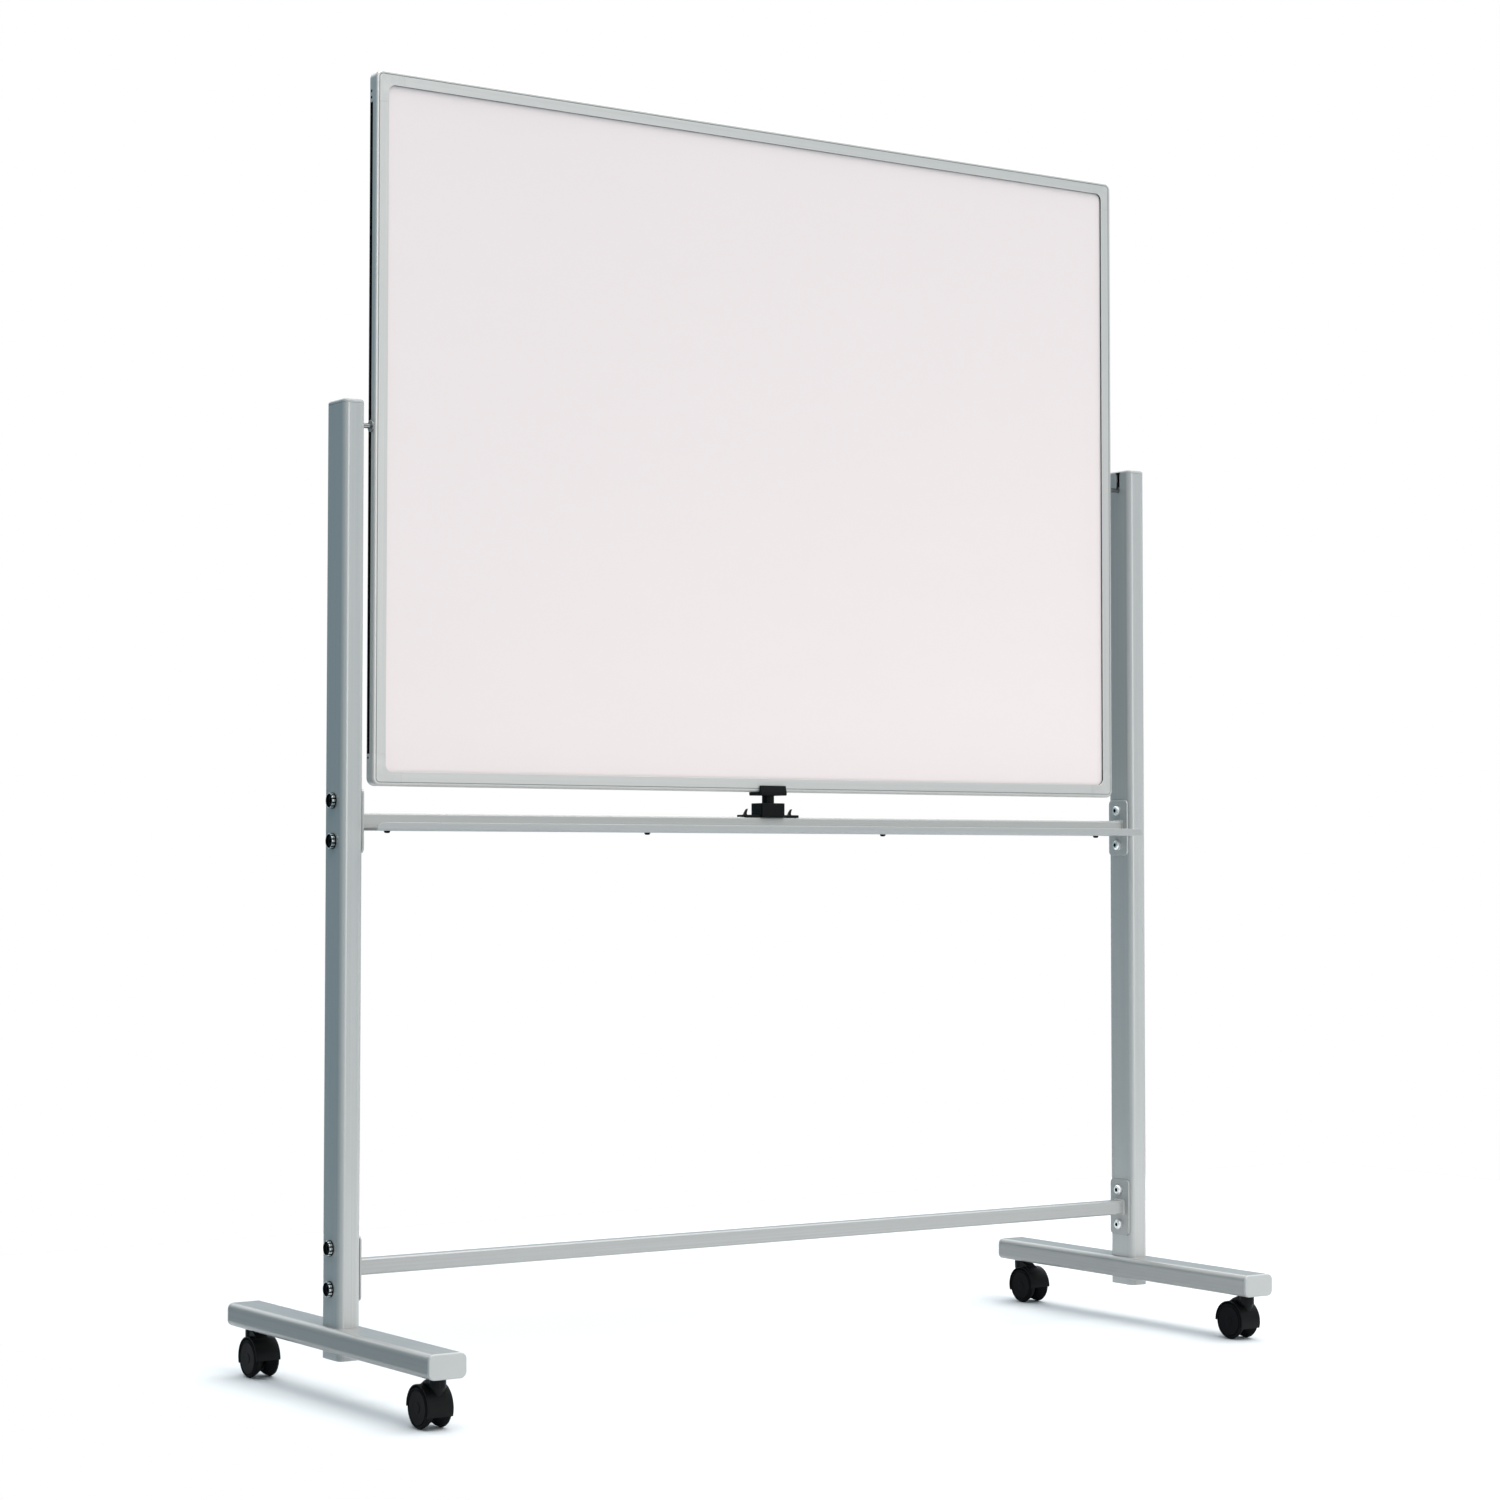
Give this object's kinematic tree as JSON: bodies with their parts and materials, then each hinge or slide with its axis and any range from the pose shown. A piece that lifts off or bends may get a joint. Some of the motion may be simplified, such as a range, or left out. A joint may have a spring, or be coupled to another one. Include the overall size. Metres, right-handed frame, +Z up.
{
  "type": "rolling whiteboard",
  "caption": "Double-sided whiteboard that turns over on pivot pins in a tube stand with swivel casters, a pen tray and a spring catch.",
  "frame": {"origin": "on the floor under the middle of the board, midway between the four casters", "axes": "+Z up, X along the board's width, -Y the side with the pen tray"},
  "size_m": [1.32, 0.55, 1.657],
  "materials": {
    "grey_steel": "satin",
    "anodised_aluminium": "satin",
    "white_board": "gloss",
    "grey_plastic": "satin",
    "black_plastic": "satin",
    "wheel_plastic": "satin",
    "bright_steel": "polished",
    "zinc_steel": "satin"
  },
  "bodies": {
    "stand": {"bolt_lower_left_bottom": "bright_steel", "bolt_lower_left_top": "bright_steel", "bolt_lower_right_bottom": "bright_steel", "bolt_lower_right_top": "bright_steel", "bolt_upper_left_bottom": "bright_steel", "bolt_upper_left_top": "bright_steel", "bolt_upper_right_bottom": "bright_steel", "bolt_upper_right_top": "bright_steel", "caster_stem_front_left": "zinc_steel", "caster_stem_front_right": "zinc_steel", "caster_stem_rear_left": "zinc_steel", "caster_stem_rear_right": "zinc_steel", "crossbar_lower": "grey_steel", "crossbar_upper": "grey_steel", "foot_cap_front_left": "grey_plastic", "foot_cap_front_right": "grey_plastic", "foot_cap_rear_left": "grey_plastic", "foot_cap_rear_right": "grey_plastic", "foot_left": "grey_steel", "foot_right": "grey_steel", "latch_base": "black_plastic", "tray": "grey_steel", "tray_screw_1": "bright_steel", "tray_screw_2": "bright_steel", "tray_screw_3": "bright_steel", "tray_screw_4": "bright_steel", "upright_cap_left": "grey_plastic", "upright_cap_right": "grey_plastic", "upright_left": "grey_steel", "upright_right": "grey_steel"},
    "board": {"frame_corner_bottom_left": "anodised_aluminium", "frame_corner_bottom_right": "anodised_aluminium", "frame_corner_top_left": "anodised_aluminium", "frame_corner_top_right": "anodised_aluminium", "frame_rail_bottom": "anodised_aluminium", "frame_rail_left": "anodised_aluminium", "frame_rail_right": "anodised_aluminium", "frame_rail_top": "anodised_aluminium", "front_panel": "white_board", "pivot_pin_left": "bright_steel", "pivot_pin_right": "bright_steel", "rear_panel": "white_board"},
    "catch": {"latch_catch": "black_plastic", "latch_spring": "zinc_steel"},
    "caster_front_left": {"caster_hood_front_left": "black_plastic", "caster_axle_front_left": "zinc_steel"},
    "wheel_front_left_outer": {"caster_wheel_front_left_outer": "wheel_plastic"},
    "wheel_front_left_inner": {"caster_wheel_front_left_inner": "wheel_plastic"},
    "caster_front_right": {"caster_hood_front_right": "black_plastic", "caster_axle_front_right": "zinc_steel"},
    "wheel_front_right_outer": {"caster_wheel_front_right_outer": "wheel_plastic"},
    "wheel_front_right_inner": {"caster_wheel_front_right_inner": "wheel_plastic"},
    "caster_rear_left": {"caster_hood_rear_left": "black_plastic", "caster_axle_rear_left": "zinc_steel"},
    "wheel_rear_left_outer": {"caster_wheel_rear_left_outer": "wheel_plastic"},
    "wheel_rear_left_inner": {"caster_wheel_rear_left_inner": "wheel_plastic"},
    "caster_rear_right": {"caster_hood_rear_right": "black_plastic", "caster_axle_rear_right": "zinc_steel"},
    "wheel_rear_right_outer": {"caster_wheel_rear_right_outer": "wheel_plastic"},
    "wheel_rear_right_inner": {"caster_wheel_rear_right_inner": "wheel_plastic"}
  },
  "joints": [
    {"name": "board_turn", "type": "hinge", "parent": "stand", "child": "board", "pos_m": [0, 0, 1.207], "axis": [1, 0, 0], "continuous": true},
    {"name": "catch_press", "type": "slide", "parent": "stand", "child": "catch", "axis": [0, 0, 1], "range_m": [-0.0095, 0], "stiffness_N_per_m": 500, "springref_m": 0.004, "deforming": ["latch_spring"]},
    {"name": "swivel_front_left", "type": "hinge", "parent": "stand", "child": "caster_front_left", "pos_m": [-0.635, -0.25, 0.062], "axis": [0, 0, 1], "continuous": true},
    {"name": "roll_front_left_outer", "type": "hinge", "parent": "caster_front_left", "child": "wheel_front_left_outer", "pos_m": [-0.635, -0.231, 0.025], "axis": [1, 0, 0], "continuous": true},
    {"name": "roll_front_left_inner", "type": "hinge", "parent": "caster_front_left", "child": "wheel_front_left_inner", "pos_m": [-0.635, -0.231, 0.025], "axis": [1, 0, 0], "continuous": true},
    {"name": "swivel_front_right", "type": "hinge", "parent": "stand", "child": "caster_front_right", "pos_m": [0.635, -0.25, 0.062], "axis": [0, 0, 1], "continuous": true},
    {"name": "roll_front_right_outer", "type": "hinge", "parent": "caster_front_right", "child": "wheel_front_right_outer", "pos_m": [0.635, -0.231, 0.025], "axis": [1, 0, 0], "continuous": true},
    {"name": "roll_front_right_inner", "type": "hinge", "parent": "caster_front_right", "child": "wheel_front_right_inner", "pos_m": [0.635, -0.231, 0.025], "axis": [1, 0, 0], "continuous": true},
    {"name": "swivel_rear_left", "type": "hinge", "parent": "stand", "child": "caster_rear_left", "pos_m": [-0.635, 0.25, 0.062], "axis": [0, 0, 1], "continuous": true},
    {"name": "roll_rear_left_outer", "type": "hinge", "parent": "caster_rear_left", "child": "wheel_rear_left_outer", "pos_m": [-0.635, 0.231, 0.025], "axis": [1, 0, 0], "continuous": true},
    {"name": "roll_rear_left_inner", "type": "hinge", "parent": "caster_rear_left", "child": "wheel_rear_left_inner", "pos_m": [-0.635, 0.231, 0.025], "axis": [1, 0, 0], "continuous": true},
    {"name": "swivel_rear_right", "type": "hinge", "parent": "stand", "child": "caster_rear_right", "pos_m": [0.635, 0.25, 0.062], "axis": [0, 0, 1], "continuous": true},
    {"name": "roll_rear_right_outer", "type": "hinge", "parent": "caster_rear_right", "child": "wheel_rear_right_outer", "pos_m": [0.635, 0.231, 0.025], "axis": [1, 0, 0], "continuous": true},
    {"name": "roll_rear_right_inner", "type": "hinge", "parent": "caster_rear_right", "child": "wheel_rear_right_inner", "pos_m": [0.635, 0.231, 0.025], "axis": [1, 0, 0], "continuous": true}
  ]
}
